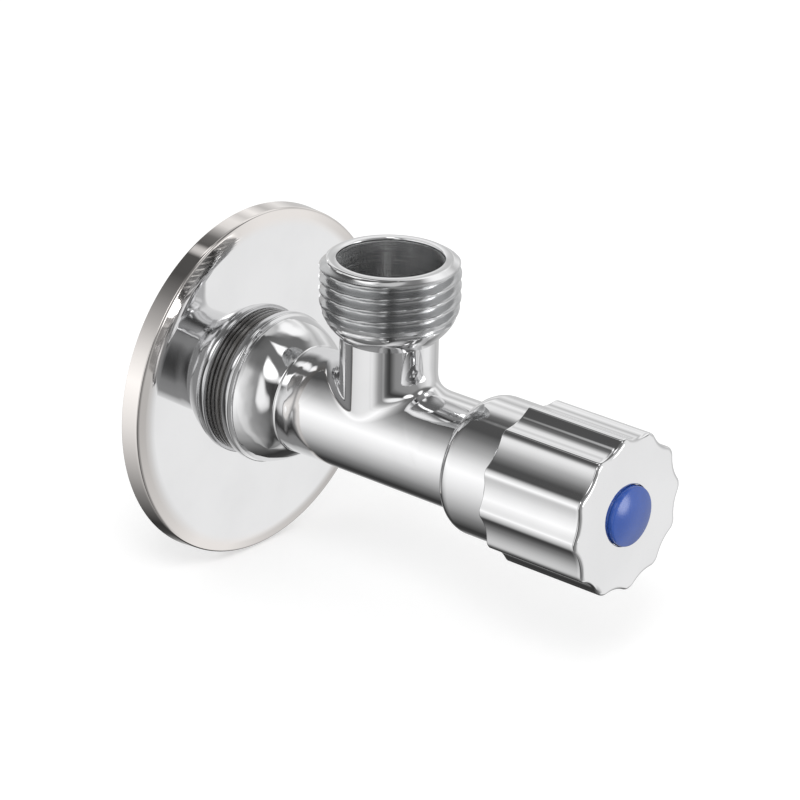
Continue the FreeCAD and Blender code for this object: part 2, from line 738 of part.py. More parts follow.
def make_moving_disc():
    """The ceramic disc that turns on the fixed one, with a slot for the spindle's tab."""
    body = new_body("rotating_ceramic_disc")
    disc = new_sketch(body, "XY_Plane", station="disc_contact")
    draw_circle(disc, "moving_disc_dia")
    pad(body, disc, "moving_disc_thickness")
    cut_ports(body, "XZ_Plane", "disc_contact", "foot_back")
    slot = new_sketch(body, "XY_Plane", station="foot_back")
    half = "(tab_width / 2 + tab_clearance)"
    draw_outline(slot, rectangle(f"0 - {half}", half, "0 - chamber_dia", "chamber_dia"))
    pocket(body, slot, depth="tab_length + tab_clearance")


def make_spindle():
    """The spindle: driving foot and tab, sealed head, shaft, clip groove and splined end."""
    body = new_body("spindle")
    head_groove = "chamber_dia / 2 - head_ring_section - 2 * ring_groove_clearance"
    head_half = "(head_ring_section / 2 + ring_groove_side_clearance)"
    shaft_groove = "shaft_bore_dia / 2 - shaft_ring_section - 2 * ring_groove_clearance"
    shaft_half = "(shaft_ring_section / 2 + ring_groove_side_clearance)"
    turned = new_sketch(body, "XZ_Plane")
    draw_outline(turned, [
        ("0", "foot_back"),
        ("moving_disc_dia / 2", "foot_back"),
        ("moving_disc_dia / 2", "foot_front"),
        ("spindle_core_dia / 2", "foot_front"),
        ("spindle_core_dia / 2", "head_back"),
        ("head_dia / 2", "head_back"),
        ("head_dia / 2", f"head_ring_place - {head_half}"),
        (head_groove, f"head_ring_place - {head_half}"),
        (head_groove, f"head_ring_place + {head_half}"),
        ("head_dia / 2", f"head_ring_place + {head_half}"),
        ("head_dia / 2", "head_front"),
        ("shaft_dia / 2", "head_front"),
        ("shaft_dia / 2", f"shaft_ring_place - {shaft_half}"),
        (shaft_groove, f"shaft_ring_place - {shaft_half}"),
        (shaft_groove, f"shaft_ring_place + {shaft_half}"),
        ("shaft_dia / 2", f"shaft_ring_place + {shaft_half}"),
        ("shaft_dia / 2", "clip_back"),
        ("shaft_dia / 2 - clip_groove_depth", "clip_back"),
        ("shaft_dia / 2 - clip_groove_depth", "clip_front"),
        ("spline_dia / 2", "clip_front"),
        ("spline_dia / 2", "spindle_end"),
        ("0", "spindle_end"),
    ])
    turn_profile(body, turned)
    cut_ports(body, "XZ_Plane", "foot_back", "foot_front")
    tab = new_sketch(body, "XY_Plane", station="foot_back")
    reach = "(moving_disc_dia / 2 - tab_clearance)"
    draw_outline(tab, rectangle("0 - tab_width / 2", "tab_width / 2", f"0 - {reach}", reach))
    pad(body, tab, "tab_length", backwards=True)
    groove = new_sketch(body, "XY_Plane", station="hub_back")
    root = "spline_dia / 2 - spline_depth"
    draw_outline(groove, [
        (root, "0"),
        ("spline_dia / 2 + spline_depth", "2 * spline_depth"),
        ("spline_dia / 2 + spline_depth", "0 - 2 * spline_depth"),
    ])
    repeat_round(body, pocket(body, groove, forwards=True), SPLINES)
    hole = new_sketch(body, "XY_Plane", station="spindle_end")
    draw_circle(hole, "screw_dia + 2 * screw_hole_clearance")
    pocket(body, hole, depth="screw_hole_depth")


def make_clip():
    """An open spring ring in the spindle's groove, which keeps the spindle in the bonnet."""
    body = new_body("retaining_clip")
    ring = new_sketch(body, "XY_Plane", station="clip_back")
    bore = "shaft_dia - 2 * clip_groove_depth + 2 * clip_clearance"
    draw_circle(ring, f"{bore} + 2 * clip_width")
    draw_circle(ring, bore)
    pad(body, ring, "clip_thickness")
    mouth = new_sketch(body, "XY_Plane", station="clip_front")
    draw_outline(mouth, rectangle("0", "shaft_dia", "0 - clip_mouth / 2", "clip_mouth / 2"))
    pocket(body, mouth)


def make_knob():
    """The handle knob: fluted outside, hollow from behind, with a ribbed hub for the bush."""
    body = new_body("handle_knob")
    outside = new_sketch(body, "XY_Plane", station="knob_back")
    draw_circle(outside, "knob_dia")
    pad(body, outside, "knob_length")
    flute = new_sketch(body, "XY_Plane", station="knob_back")
    centre = "(knob_dia / 2 - flute_depth + flute_radius)"
    middle = f"(flute_turn + {180 / FLUTES})"
    draw_circle(flute, "2 * flute_radius", across=f"{centre} * cos({middle})",
                along=f"{centre} * sin({middle})")
    repeat_round(body, pocket(body, flute, forwards=True), FLUTES)
    break_edge(body, "knob_edge_chamfer", end_face(body))
    round_off(body, "ridge_rounding", ridge_edges(body))

    inside = new_sketch(body, "XZ_Plane")
    draw_outline(inside, [
        ("0", "knob_back - knob_gap"),
        ("cavity_dia / 2", "knob_back - knob_gap"),
        ("cavity_dia / 2", "cavity_floor"),
        ("hub_dia / 2", "cavity_floor"),
        ("hub_dia / 2", "hub_back"),
        ("bush_dia / 2 + bush_clearance", "hub_back"),
        ("bush_dia / 2 + bush_clearance", "web_back"),
        ("screw_dia / 2 + screw_clearance", "web_back"),
        ("screw_dia / 2 + screw_clearance", "knob_front + knob_gap"),
        ("0", "knob_front + knob_gap"),
    ])
    turn_profile(body, inside, cut=True)
    front = new_sketch(body, "XZ_Plane")
    recess = "screw_head_dia / 2 + screw_recess_clearance"
    draw_outline(front, [
        ("0", "web_front"),
        (recess, "web_front"),
        (recess, "recess_floor"),
        ("index_recess_dia / 2", "recess_floor"),
        ("index_recess_dia / 2", "knob_front + knob_gap"),
        ("0", "knob_front + knob_gap"),
    ])
    turn_profile(body, front, cut=True)
    rib = new_sketch(body, "XY_Plane", station="cavity_floor")
    draw_outline(rib, rectangle(
        "hub_dia / 2 - hub_wall / 2", "cavity_dia / 2 + knob_wall / 2",
        "0 - rib_width / 2", "rib_width / 2",
    ))
    repeat_round(body, pad(body, rib, "cavity_floor - hub_back - hub_wall", backwards=True), HUB_RIBS)


def ridge_edges(body):
    """The long edges on each side of every ridge between two flutes."""
    names = []
    for number, edge in enumerate(body.Tip.Shape.Edges, start=1):
        box = edge.BoundBox
        if isinstance(edge.Curve, Part.Line) and box.ZLength > size("knob_length") / 2:
            away = math.hypot(box.Center.x, box.Center.y)
            if abs(away - size("knob_dia") / 2) < 1e-3:
                names.append(f"Edge{number}")
    return names


def end_face(body):
    """The name of the knob's flat front face."""
    for number, face in enumerate(body.Tip.Shape.Faces, start=1):
        if isinstance(face.Surface, Part.Plane) and abs(face.BoundBox.ZMin - size("knob_front")) < 1e-4:
            return [f"Face{number}"]
    raise RuntimeError("the knob has no front face")


def make_bush():
    """The plastic bush in the hub, whose pointed ribs lie in the spindle's splines."""
    body = new_body("handle_bush")
    ring = new_sketch(body, "XY_Plane", station="hub_back")
    draw_circle(ring, "bush_dia")
    draw_circle(ring, "bush_bore_dia")
    pad(body, ring, "web_back - hub_back")
    rib = new_sketch(body, "XY_Plane", station="hub_back")
    crest = "spline_dia / 2 - spline_depth + spline_clearance"
    foot = "bush_bore_dia / 2 + bush_wall / 4"
    draw_outline(rib, [
        (crest, "0"),
        (foot, f"{foot} - ({crest})"),
        (foot, f"{crest} - ({foot})"),
    ])
    repeat_round(body, pad(body, rib, "spindle_end - hub_back"), SPLINES)


def make_screw():
    """The handle screw: plain shank, low rounded head with a cross recess."""
    body = new_body("handle_screw")
    turned = new_sketch(body, "XZ_Plane")
    draw_outline(turned, [
        ("0", "spindle_end - screw_reach"),
        ("screw_dia / 2 - screw_clearance", "spindle_end - screw_reach"),
        ("screw_dia / 2", "spindle_end - screw_reach + 2 * screw_clearance"),
        ("screw_dia / 2", "screw_head_back"),
        ("screw_head_dia / 2", "screw_head_back"),
        ("screw_head_dia / 2", "screw_head_front - screw_head_height / 2"),
        ("screw_head_dia / 2 - screw_head_height / 2", "screw_head_front"),
        ("0", "screw_head_front"),
    ])
    turn_profile(body, turned)
    half = "(screw_slot_width / 2)"
    reach = "(screw_head_dia / 3)"
    for slot in (rectangle(f"0 - {half}", half, f"0 - {reach}", reach),
                 rectangle(f"0 - {reach}", reach, f"0 - {half}", half)):
        recess = new_sketch(body, "XY_Plane", station="screw_head_front")
        draw_outline(recess, slot)
        pocket(body, recess, depth="screw_slot_depth")


def make_index_cap():
    """The domed index cap, pressed into the knob's face and standing a little proud of it."""
    button = doc.addObject("Part::Cylinder", "index_cap_button")
    button.setExpression("Radius", formula("cap_dia / 2"))
    button.setExpression("Height", formula("cap_top - recess_floor - cap_set_in"))
    button.setExpression("Placement.Base.z", formula("recess_floor + cap_set_in"))
    ball = doc.addObject("Part::Sphere", "index_cap_ball")
    ball.setExpression("Radius", formula("cap_ball_radius"))
    ball.setExpression("Placement.Base.z", formula("cap_top - cap_ball_radius"))
    cap = doc.addObject("Part::Common", "index_cap")
    cap.Base, cap.Tool = button, ball
    cap.Label = "index_cap"
    cap.Placement = TURN
    pieces.append(cap)


make_valve_body()
make_wall_escutcheon()
flat_ring("inlet_sealing_ring", bore="relief_dia + 2 * ring_bore_clearance",
          outside="bead_dia - 2 * ring_setback", back="plate_height + ring_face_clearance",
          thickness="ring_thickness")
make_strainer()
make_bonnet()
flat_ring("bonnet_gasket", bore="bonnet_thread_dia", outside="bonnet_flange_dia - 2 * gasket_setback",
          back="collar_end", thickness="gasket_thickness")
ring_seal("bonnet_o_ring", section="bonnet_ring_section",
           bore="(cartridge_bore_dia - 2 * bonnet_ring_section - ring_groove_clearance)",
           station="bonnet_ring_place")
flat_ring("seat_seal", bore="seal_bore_dia", outside="chamber_dia - 2 * seal_clearance",
          back="seat_face", thickness="seal_thickness")
make_fixed_disc()
make_moving_disc()
make_spindle()
ring_seal("lower_spindle_o_ring", section="head_ring_section",
           bore="(chamber_dia - 2 * head_ring_section - 2 * ring_groove_clearance)",
           station="head_ring_place")
ring_seal("upper_spindle_o_ring", section="shaft_ring_section",
           bore="(shaft_bore_dia - 2 * shaft_ring_section - ring_groove_clearance)",
           station="shaft_ring_place")
flat_ring("thrust_washer", bore="shaft_dia + 2 * shaft_clearance", outside="head_dia - 2 * shaft_clearance",
          back="head_front", thickness="thrust_washer_thickness")
make_clip()
make_knob()
make_bush()
make_screw()
flat_ring("screw_washer", bore="screw_dia + screw_clearance", outside="lock_washer_dia",
          back="web_front", thickness="lock_washer_thickness")
make_index_cap()
doc.recompute()

for item in doc.Objects:
    if "Invalid" in item.State or "Error" in item.State:
        raise RuntimeError(f"{item.Label} could not be worked out: {item.getStatusString()}")
for piece in pieces:
    if piece.Shape.isNull() or not piece.Shape.isValid():
        raise RuntimeError(f"{piece.Label} has no sound shape")
os.makedirs("parts", exist_ok=True)
for piece in pieces:
    piece.Shape.exportStep(os.path.join("parts", piece.Label + ".step"))
    print(piece.Label, "solids", len(piece.Shape.Solids), "volume", round(piece.Shape.Volume, 2))
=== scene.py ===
import json
import math
import bmesh
import bpy
from mathutils import Matrix, Vector


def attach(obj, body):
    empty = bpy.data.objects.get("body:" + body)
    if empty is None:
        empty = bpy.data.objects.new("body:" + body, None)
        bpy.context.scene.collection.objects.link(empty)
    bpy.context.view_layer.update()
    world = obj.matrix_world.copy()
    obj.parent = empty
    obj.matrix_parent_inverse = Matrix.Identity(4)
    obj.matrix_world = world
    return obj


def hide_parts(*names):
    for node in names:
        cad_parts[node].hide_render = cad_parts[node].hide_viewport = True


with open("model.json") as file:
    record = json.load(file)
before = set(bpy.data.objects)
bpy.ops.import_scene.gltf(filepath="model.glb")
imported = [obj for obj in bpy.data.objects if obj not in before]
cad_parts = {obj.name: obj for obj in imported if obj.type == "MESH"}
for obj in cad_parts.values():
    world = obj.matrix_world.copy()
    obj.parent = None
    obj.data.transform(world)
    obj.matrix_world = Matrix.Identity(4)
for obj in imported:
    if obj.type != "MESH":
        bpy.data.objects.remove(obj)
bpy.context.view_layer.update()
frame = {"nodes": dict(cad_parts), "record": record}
print("frame loaded:", len(frame["nodes"]), "solids")

# Pieces are built in millimetres: x to the right, stations outwards from the wall along -y, z up.
metres = Matrix.Scale(0.001, 4)


# Camera, where it fits the photograph

cameraSet = {
    "azimuth": -49.48, "elevation": 23.25, "roll": 1.23,      # degrees
    "distance": 0.63679, "aim": (0, -0.035, 0),
    "sideways": -0.00318, "upwards": 0.00583,                 # of the aim, in the picture's plane
    "lens": 194.268, "sensor": 36, "nearest": 0.05, "farthest": 20,
}


def placeCamera():
    turn, rise, roll = (math.radians(cameraSet[key]) for key in ("azimuth", "elevation", "roll"))
    back = Vector((math.sin(turn) * math.cos(rise), -math.cos(turn) * math.cos(rise), math.sin(rise)))
    level = Vector((math.cos(turn), math.sin(turn), 0))
    upright = back.cross(level)
    right = math.cos(roll) * level + math.sin(roll) * upright
    top = math.cos(roll) * upright - math.sin(roll) * level
    aim = Vector(cameraSet["aim"]) + cameraSet["sideways"] * right + cameraSet["upwards"] * top
    data = bpy.data.cameras.new("camera")
    data.lens, data.sensor_width = cameraSet["lens"], cameraSet["sensor"]
    data.clip_start, data.clip_end = cameraSet["nearest"], cameraSet["farthest"]
    camera = bpy.data.objects.new("camera", data)
    place = Matrix((right, top, back)).transposed().to_4x4()
    place.translation = aim + cameraSet["distance"] * back
    camera.matrix_world = place
    bpy.context.scene.collection.objects.link(camera)
    bpy.context.scene.camera = camera


placeCamera()
bpy.context.scene.view_settings.view_transform = "Standard"
print("camera placed")


# Shader building

class Wire:
    def __init__(self, tree, socket=None):
        self.tree, self.socket = tree, socket

    def add(self, kind, settings, values, output=0):
        node = self.tree.nodes.new(kind)
        for name, setting in settings.items():
            if name == "stops":      # a ramp's places and grey levels
                stops = node.color_ramp.elements
                while len(stops) < len(setting):
                    stops.new(0.5)
                for stop, (place, level) in zip(stops, setting):
                    stop.position, stop.color = place, (level, level, level, 1)
            else:
                setattr(node, name, setting)
        for name, value in values.items():
            if isinstance(value, Wire):
                self.tree.links.new(value.socket, node.inputs[name])
            else:
                node.inputs[name].default_value = value
        return Wire(self.tree, node.outputs[output] if node.outputs else None)

    def reckon(self, operation, *values):      # a Math node
        return self.add("ShaderNodeMath", {"operation": operation}, dict(enumerate(values)))

    def __add__(self, other):
        return self.reckon("ADD", self, other)

    def __sub__(self, other):
        return self.reckon("SUBTRACT", self, other)

    def __rsub__(self, other):
        return self.reckon("SUBTRACT", other, self)

    def __mul__(self, other):
        return self.reckon("MULTIPLY", self, other)

    __radd__, __rmul__ = __add__, __mul__

    def between(self, low, high):      # 0 below low, 1 above high, soft in between
        return self.add("ShaderNodeMapRange", {"interpolation_type": "SMOOTHSTEP"},
                        {"Value": self, "From Min": low, "From Max": high})


def newMaterial(name):
    material = bpy.data.materials.new(name)
    material.use_nodes = True
    material.node_tree.nodes.clear()
    return material, Wire(material.node_tree)


def finishMaterial(start, **values):
    shader = start.add("ShaderNodeBsdfPrincipled", {}, values)
    start.add("ShaderNodeOutputMaterial", {}, {"Surface": shader})


def objectPlace(start):
    return start.add("ShaderNodeTexCoord", {}, {}, output="Object")


def axesOf(start, place):
    return [start.add("ShaderNodeSeparateXYZ", {}, {0: place}, output=axis) for axis in "XYZ"]


def grain(start, place, scale, detail=3.0):      # noise around 0.5
    return start.add("ShaderNodeTexNoise", {}, {"Vector": place, "Scale": scale, "Detail": detail})


def blendColours(start, factor, first, second):
    return start.add("ShaderNodeMix", {"data_type": "RGBA"}, {0: factor, 6: first, 7: second}, output=2)


# Materials

# Lengths of the materials are in metres, noise scales in repeats per metre.
chromeSet = {
    "plated": (0.80, 0.80, 0.805, 1), "dull": (0.74, 0.74, 0.745, 1), "filmScale": 90,
    "roughness": 0.03, "smudge": 0.03, "ripple": 0.000001, "rippleScale": 420,
}
machinedSet = {      # the threads and the outlet's bore
    "colour": (0.56, 0.565, 0.57, 1), "roughness": 0.18, "spread": 0.08,
    "outlet": (0.0178, 0.0184, 0.0264, 0.0266), "inlet": (-0.0052, -0.0050),      # soft limits along the axes
    "scoring": 0.0000015, "scoringScale": 9000,
    "boreAxis": 0.028298, "boreWall": (0.0082, 0.0086), "boreShine": 0.14,
    "boreScoring": 0.0001, "boreScoringScale": 60000,
}
castingSet = {      # the polished casting is uneven at the crown and a little elsewhere
    "crown": (-0.0165, -0.0135, -0.0062, -0.0052), "height": 0.00016, "scale": 210, "elsewhere": 0.06,
}
pressedSet = {"dome": 0.57, "rim": (0.0242, 0.0262), "rimColour": (0.80, 0.765, 0.74, 1)}


def squaresOf(east, other):      # of the distance from an axis
    return east * east + other * other


def turnedMarks(start, along, scale, detail):      # noise that only changes along an axis
    return start.add("ShaderNodeTexNoise", {"noise_dimensions": "1D"},
                     {"W": along, "Scale": scale, "Detail": detail})


def makeChrome(name, kind):
    material, start = newMaterial(name)
    place = objectPlace(start)
    east, north, high = axesOf(start, place)
    film = grain(start, place, chromeSet["filmScale"]).between(0.35, 0.7)
    colour = blendColours(start, film * 0.5, chromeSet["plated"], chromeSet["dull"])
    roughness = film * chromeSet["smudge"] + chromeSet["roughness"]
    relief = grain(start, place, chromeSet["rippleScale"], 1.0) * chromeSet["ripple"]
    if kind == "body":
        foot, full, fading, top = machinedSet["outlet"]
        outlet = high.between(foot, full) * (1 - high.between(fading, top))
        inlet = north.between(*machinedSet["inlet"])
        machined = start.reckon("MAXIMUM", outlet, inlet)
        squares = squaresOf(east, north + machinedSet["boreAxis"])
        bored = (1 - start.reckon("SQRT", squares).between(*machinedSet["boreWall"])) * outlet
        scoring = turnedMarks(start, high * outlet + north * inlet, machinedSet["scoringScale"], 1.0)
        boreMarks = turnedMarks(start, high, machinedSet["boreScoringScale"], 0.0)
        satin = scoring * machinedSet["spread"] + machinedSet["roughness"] - bored * machinedSet["boreShine"]
        colour = blendColours(start, machined, colour, machinedSet["colour"])
        roughness = roughness * (1 - machined) + satin * machined
        front, full, fading, back = castingSet["crown"]
        crown = north.between(front, full) * (1 - north.between(fading, back))
        uneven = grain(start, place, castingSet["scale"], 1.5) * (crown + castingSet["elsewhere"])
        relief = (relief + uneven * castingSet["height"]) * (1 - machined)
        relief = relief + scoring * machined * machinedSet["scoring"]
        relief = relief + boreMarks * bored * machinedSet["boreScoring"]
    if kind == "plate":
        squares = squaresOf(east, high)
        rim = start.reckon("SQRT", squares).between(*pressedSet["rim"])
        colour = blendColours(start, rim, colour, pressedSet["rimColour"])
        relief = relief - squares * (0.5 / pressedSet["dome"])
    normal = start.add("ShaderNodeBump", {}, {"Strength": 1.0, "Distance": 1.0, "Height": relief})
    finishMaterial(start, **{"Base Color": colour, "Metallic": 1.0, "Roughness": roughness, "Normal": normal})
    return material


plainFinishes = {
    # colour, second colour, metallic, roughness, its spread, noise scale, bump height
    "brass": ((0.72, 0.53, 0.24, 1), (0.60, 0.43, 0.19, 1), 1.0, 0.22, 0.14, 500, 0.00001),
    "steel": ((0.62, 0.62, 0.61, 1), (0.50, 0.50, 0.50, 1), 1.0, 0.25, 0.12, 700, 0.00001),
    "seal": ((0.055, 0.052, 0.05, 1), (0.10, 0.095, 0.09, 1), 0.0, 0.16, 0.08, 900, 0.000004),
    "rubber": ((0.018, 0.018, 0.019, 1), (0.035, 0.034, 0.034, 1), 0.0, 0.62, 0.2, 900, 0.00002),
    "ceramic": ((0.86, 0.85, 0.81, 1), (0.80, 0.79, 0.75, 1), 0.0, 0.18, 0.08, 1500, 0.000002),
    "acetal": ((0.84, 0.84, 0.80, 1), (0.78, 0.78, 0.74, 1), 0.0, 0.42, 0.1, 1100, 0.000006),
}


sealCoat = {"Coat Weight": 1.0, "Coat Roughness": 0.08, "Coat IOR": 1.9}      # the wet look of the sealing ring


def makePlain(name):
    first, second, metallic, roughness, spread, scale, height = plainFinishes[name]
    material, start = newMaterial(name)
    place = objectPlace(start)
    cloud = grain(start, place, scale)
    fine = grain(start, place, scale * 4)
    bump = start.add("ShaderNodeBump", {}, {"Strength": 0.5, "Distance": height, "Height": fine})
    values = {"Base Color": blendColours(start, cloud, first, second), "Metallic": metallic,
              "Roughness": cloud * spread + (roughness - spread / 2), "Normal": bump}
    if name == "seal":
        values.update(sealCoat)
    finishMaterial(start, **values)
    return material


capFinish = {
    "blue": (0.04, 0.11, 0.45, 1), "deep": (0.028, 0.085, 0.38, 1), "cloudScale": 350,
    "roughness": 0.16, "spread": 0.08, "coat": 0.25, "coatRoughness": 0.1,
    "grainScale": 2600, "grainHeight": 0.000008, "grainStrength": 0.25,
}


def makeCapPlastic():
    material, start = newMaterial("blueCap")
    place = objectPlace(start)
    cloud = grain(start, place, capFinish["cloudScale"])
    bump = start.add("ShaderNodeBump", {}, {
        "Strength": capFinish["grainStrength"], "Distance": capFinish["grainHeight"],
        "Height": grain(start, place, capFinish["grainScale"]),
    })
    finishMaterial(start, **{
        "Base Color": blendColours(start, cloud, capFinish["blue"], capFinish["deep"]),
        "Roughness": cloud * capFinish["spread"] + capFinish["roughness"], "Normal": bump,
        "Coat Weight": capFinish["coat"], "Coat Roughness": capFinish["coatRoughness"],
    })
    return material


chromeBody = makeChrome("chromeBody", "body")
chromePlate = makeChrome("chromePlate", "plate")
chromeTrim = makeChrome("chromeTrim", "trim")
plain = {name: makePlain(name) for name in plainFinishes}
blueCap = makeCapPlastic()
print("materials made")


# Mesh helpers

def roundedOutline(corners, guard=0.12, finest=11):
    # corners of (across, along, rounding); every rounding becomes an arc with a guard point on each side
    count = len(corners)
    arcs = []
    for index, (across, along, rounding) in enumerate(corners):
        corner = Vector((across, along))
        before, after = (Vector(corners[(index + step) % count][:2]) for step in (-1, 1))
        arrive, leave = (corner - before).normalized(), (after - corner).normalized()
        bend = math.acos(max(-1, min(1, arrive.dot(leave))))
        if not rounding or bend < 0.01:
            arcs.append([corner])
            continue
        reach = rounding * math.tan(bend / 2)
        inwards = (leave - arrive).normalized()
        centre = corner + inwards * rounding / math.cos(bend / 2)
        first, last = corner - arrive * reach - centre, corner + leave * reach - centre
        steps = max(3, math.ceil(math.degrees(bend) / finest))
        arcs.append([centre + rounding * first.slerp(last, step / steps) for step in range(steps + 1)])
    points = []
    for index, arc in enumerate(arcs):
        following = arcs[(index + 1) % count]
        points.extend(arc)
        gap = following[0] - arc[-1]
        if gap.length > 3 * guard:
            if len(arc) > 1:
                points.append(arc[-1] + gap.normalized() * guard)
            if len(following) > 1:
                points.append(following[0] - gap.normalized() * guard)
    return points


def spunShape(corners, around, layers=()):      # layers are numbers that each corner of the mesh can hold
    shape = bmesh.new()
    for layer in layers:
        shape.verts.layers.float.new(layer)
    rim = [shape.verts.new((point.x, -point.y, 0)) for point in roundedOutline(corners)]
    sides = [shape.edges.new((rim[index - 1], rim[index])) for index in range(len(rim))]
    bmesh.ops.spin(shape, geom=rim + sides, cent=(0, 0, 0), axis=(0, 1, 0), angle=math.tau,
                   steps=around, use_merge=True)
    bmesh.ops.remove_doubles(shape, verts=shape.verts, dist=0.0005)
    return shape


def ringOn(shape, edges, place):      # the open edges carried on by one ring; place moves each new corner
    grown = bmesh.ops.extrude_edge_only(shape, edges=edges)["geom"]
    corners = [item for item in grown if isinstance(item, bmesh.types.BMVert)]
    for corner in corners:
        corner.co = place(corner)
    return [item for item in grown if isinstance(item, bmesh.types.BMEdge) and item.is_boundary]


def finishPiece(shape, name, material, body, nodes, crease=34):
    bmesh.ops.recalc_face_normals(shape, faces=shape.faces)
    bmesh.ops.transform(shape, matrix=metres, verts=shape.verts)
    mesh = bpy.data.meshes.new(name)
    shape.to_mesh(mesh)
    shape.free()
    mesh.shade_smooth()
    mesh.set_sharp_from_angle(angle=math.radians(crease))
    mesh.materials.append(material)
    piece = bpy.data.objects.new(name, mesh)
    bpy.context.scene.collection.objects.link(piece)
    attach(piece, body)
    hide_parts(*nodes)
    print(name, len(mesh.polygons), "faces")


# Valve body

threadSet = {"radius": 10.4775, "pitch": 1.814, "depth": 1.162, "flat": 0.14, "softness": 0.35}
bodySet = {      # radii across the valve's axis, stations along it
    "around": 96, "barrel": 8.25, "innerBore": 6.45,
    "spigotEnd": -13, "spigotChamfer": 1, "spigotFront": 1.5, "spigotRow": 0.113, "inletBore": 6.0,
    "waist": 9.5975, "bead": 11.7975, "beadBack": 5.3, "beadFront": 6.7,
    "groove": 11.2275, "grooveSides": (6.9667, 7.2333),
    "crown": 11.4475, "crownBack": 7.5, "crownEdge": (10.3603, 10.6), "crownDome": 13.5, "crownFoot": 12.998,
    "shoulder": (45.698, 47.3786), "shoulderRounding": 2.7, "collar": 10.65, "collarFront": 55.8986,
    "cartridgeBore": 9.0, "cartridgeFloor": 47.2986, "seatBore": 3.9, "seat": (14.958, 16.958),
    "patch": 12.8, "patchSteps": 48, "patchTurn": 90,      # half length, rows and half turn of the opening
    "innerPatch": 6.0, "innerSteps": 18, "innerTurn": 56.25,
}
branchSet = {      # radii across the outlet's axis, heights along it
    "outlet": 28.298, "neck": 7.34, "rootRounding": 2.6, "rootReach": 1.35, "rootEase": 2.2,
    "barrelRings": 6, "rootRings": 14, "neckRings": 4,
    "neckRingsTop": 14.75, "neckTop": 14.865, "bowlCorner": 18.23, "bowlBend": 43, "bowlRounding": 7.3,
    "bowlRings": [14.865, 14.98, 15.2, 15.4, 15.6, 15.8, 16.0, 16.2, 16.4, 16.6],
    "threadFade": (16.4, 17.6), "threadShift": 0.35, "threadFoot": 16.8, "threadRow": 0.0826, "threadRows": 115,
    "chamferFoot": 26.3, "chamferSlope": 1.28 / 0.77, "chamferRow": 0.11, "chamferTop": 27.05, "top": 27.07,
    "topRings": (9.16, 9.05), "passage": 5.0,
    "passageWall": [      # radius, height
        (5.0, 8), (5.0, 16.25), (5.03, 16.34), (5.1, 16.43), (7.87, 18.0), (7.95, 18.1), (7.97, 18.25),
        (7.97, 26.75), (8.0, 26.93), (8.07, 27.03), (8.2, 27.07),
    ],
}


def threadRadius(turn, along, fade=1.0):      # a rounded 55 degree thread; turn in whole turns
    phase = (along / threadSet["pitch"] - turn) % 1
    rise = abs(2 * phase - 1)                   # 1 on the crest, 0 in the root
    flat, softness = threadSet["flat"], threadSet["softness"]
    rise = min(1, max(0, (rise - flat) / (1 - 2 * flat)))
    rise = rise * rise * (3 - 2 * rise) * softness + rise * (1 - softness)
    return threadSet["radius"] - threadSet["depth"] * (1 - rise) * fade


def evenRows(radius, middle, halfLength, steps):      # a negative half length gives them the other way round
    return [(radius, middle - halfLength + row * 2 * halfLength / steps, 0) for row in range(steps + 1)]


def bodyOutline():      # radius, station, rounding
    thread, barrel, inner = threadSet["radius"], bodySet["barrel"], bodySet["innerBore"]
    end, front, inlet = bodySet["spigotEnd"], bodySet["spigotFront"], bodySet["inletBore"]
    crest, waist, bead = end + bodySet["spigotChamfer"], bodySet["waist"], bodySet["bead"]
    rows = range(1, int((front - crest) / bodySet["spigotRow"]))
    groove, (grooveBack, grooveFront) = bodySet["groove"], bodySet["grooveSides"]
    collar, collarFront = bodySet["collar"], bodySet["collarFront"]
    shoulderFoot, shoulderTop = bodySet["shoulder"]
    chamber, chamberFloor = bodySet["cartridgeBore"], bodySet["cartridgeFloor"]
    seat, (seatBack, seatFront) = bodySet["seatBore"], bodySet["seat"]
    return [
        (inlet, end, 0), (thread - bodySet["spigotChamfer"], end, 0), (thread, crest, 0),
        *((thread, crest + row * bodySet["spigotRow"], 0) for row in rows),
        (thread, front, 0), (waist, front, 0), (waist, bodySet["beadBack"], 0),
        (bead, bodySet["beadBack"], 0.45), (bead, bodySet["beadFront"], 0.45),
        (groove, grooveBack, 0.1), (groove, grooveFront, 0.1),
        (bodySet["crown"], bodySet["crownBack"], 0.2), (*bodySet["crownEdge"], bodySet["crownDome"]),
        (barrel, bodySet["crownFoot"], 0.6),
        *evenRows(barrel, branchSet["outlet"], bodySet["patch"], bodySet["patchSteps"]),
        (barrel, shoulderFoot, 0.12), (collar, shoulderTop, bodySet["shoulderRounding"]),
        (collar, collarFront, 0.35),
        (chamber, collarFront, 0.15), (chamber, chamberFloor, 0), (inner, chamberFloor, 0),
        *evenRows(inner, branchSet["outlet"], -bodySet["innerPatch"], bodySet["innerSteps"]),
        (inner, seatFront, 0), (seat, seatFront, 0), (seat, seatBack, 0), (inlet, seatBack, 0),
    ]


def cutThread(shape):      # into the spigot
    for corner in shape.verts:
        station, across = -corner.co.y, math.hypot(corner.co.x, corner.co.z)
        if station < bodySet["spigotFront"] - 0.01 and across > bodySet["barrel"]:
            turn = math.atan2(corner.co.z, corner.co.x) / math.tau
            limit = min(across, threadRadius(turn, station))
            corner.co.x *= limit / across
            corner.co.z *= limit / across


def openPatch(shape, radius, halfTurn, halfLength):      # takes the faces away and gives the hole's edges
    known = {edge for edge in shape.edges if edge.is_boundary}
    doomed = []
    for face in shape.faces:
        middle = face.calc_center_median()
        turned = math.degrees(abs(math.atan2(middle.x, middle.z)))
        onWall = abs(math.hypot(middle.x, middle.z) - radius) < 0.05
        if onWall and turned < halfTurn and abs(-middle.y - branchSet["outlet"]) < halfLength:
            doomed.append(face)
    bmesh.ops.delete(shape, geom=doomed, context="FACES")
    return [edge for edge in shape.edges if edge.is_boundary and edge not in known]


